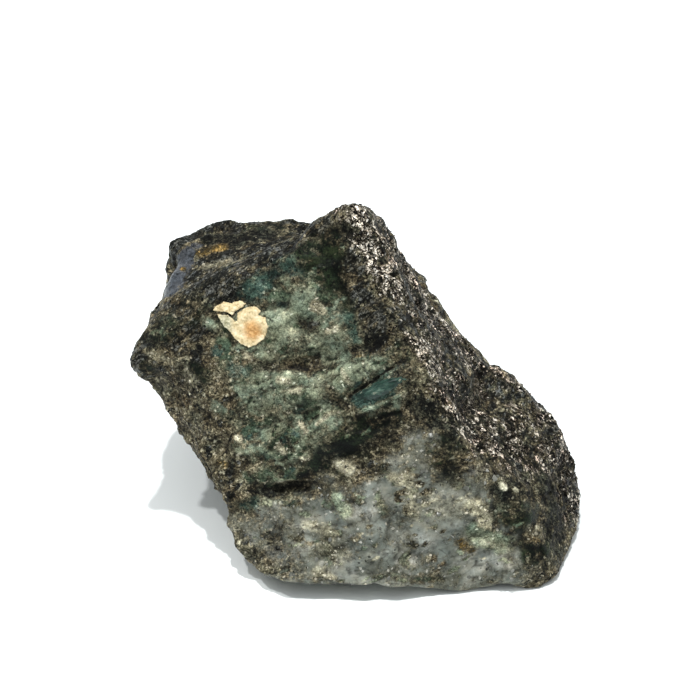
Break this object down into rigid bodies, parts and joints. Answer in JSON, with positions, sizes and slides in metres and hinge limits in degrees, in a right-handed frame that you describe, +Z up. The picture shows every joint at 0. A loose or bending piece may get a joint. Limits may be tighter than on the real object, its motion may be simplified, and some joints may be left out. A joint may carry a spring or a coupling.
{
  "type": "raw emerald",
  "caption": "Rough lump of emerald seam in dark mica schist with grey quartz, a mineral specimen that rests on its worn foot.",
  "frame": {"origin": "On the resting plane, below the middle of the lump's box.", "axes": "+Z up. +X along the longest side, to the right when the emerald face is looked at. The emerald face looks along -Y and up."},
  "size_m": [0.0652, 0.0556, 0.049],
  "materials": {
    "schist": "rough dark grey-green mica schist with a waxy green emerald seam, grey quartz at its foot, glittering mica flakes and a cream crust"
  },
  "bodies": {
    "root": {"raw_emerald": "schist"}
  },
  "joints": []
}
